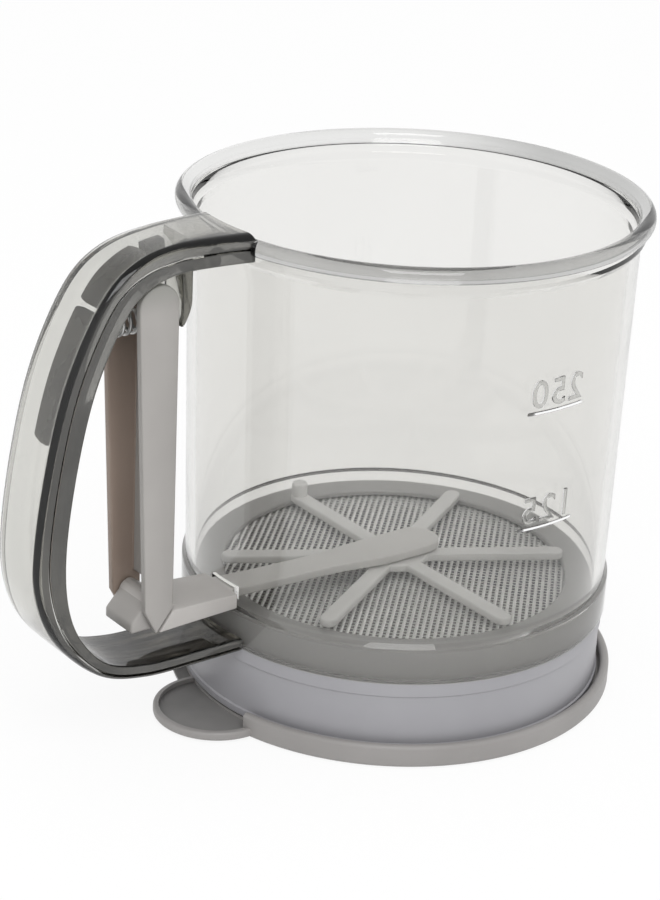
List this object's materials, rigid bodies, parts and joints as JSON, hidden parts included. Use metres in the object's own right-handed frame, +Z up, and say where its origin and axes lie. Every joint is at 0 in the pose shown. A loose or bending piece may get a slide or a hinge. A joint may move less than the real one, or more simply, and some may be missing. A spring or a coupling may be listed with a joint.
{
  "type": "flour sifter",
  "caption": "Clear hand-held flour sifter cup with a squeeze trigger in its handle, a star-shaped agitator over a fine mesh, and a push-on bottom lid with a pull tab.",
  "frame": {"origin": "on the cup's axis, on the underside of the bottom lid", "axes": "+Z up along the cup's axis; the handle points along -X; Y runs across the handle"},
  "size_m": [0.1346, 0.0924, 0.1016],
  "materials": {
    "clear_plastic": "polished, see-through, faintly grey",
    "smoke_plastic": "polished, smoky and half see-through",
    "grey_plastic": "satin, warm grey",
    "ring_plastic": "satin, cool grey",
    "steel": "drawn wire and pin stock"
  },
  "bodies": {
    "cup": {"cup_body": "clear_plastic", "handle_frame": "smoke_plastic", "handle_cover": "clear_plastic", "grip_insert": "smoke_plastic", "hinge_pin": "steel", "trigger_spring": "steel", "sieve_ring": "ring_plastic", "mesh_screen": "steel", "mesh_retainer": "ring_plastic"},
    "trigger": {"trigger": "grey_plastic"},
    "agitator": {"push_arm": "grey_plastic", "link_pin": "steel", "agitator_star": "grey_plastic", "star_rivet": "steel"},
    "lid": {"bottom_lid": "grey_plastic"}
  },
  "joints": [
    {"name": "trigger_hinge", "type": "hinge", "parent": "cup", "child": "trigger", "pos_m": [-0.0625, 0, 0.0902], "axis": [0, 1, 0], "range_deg": [0, 5], "stiffness_Nm_per_rad": 2, "springref_deg": -1.72, "deforming": ["trigger_spring"]},
    {"name": "push_slide", "type": "slide", "parent": "cup", "child": "agitator", "axis": [-1, 0, 0], "range_m": [0, 0.0054]},
    {"name": "lid_pull", "type": "slide", "parent": "cup", "child": "lid", "axis": [0, 0, -1], "range_m": [0, 0.02]}
  ],
  "couplings": [
    {"joint": "push_slide", "follows": "trigger_hinge", "m_per_rad": 0.0602}
  ]
}
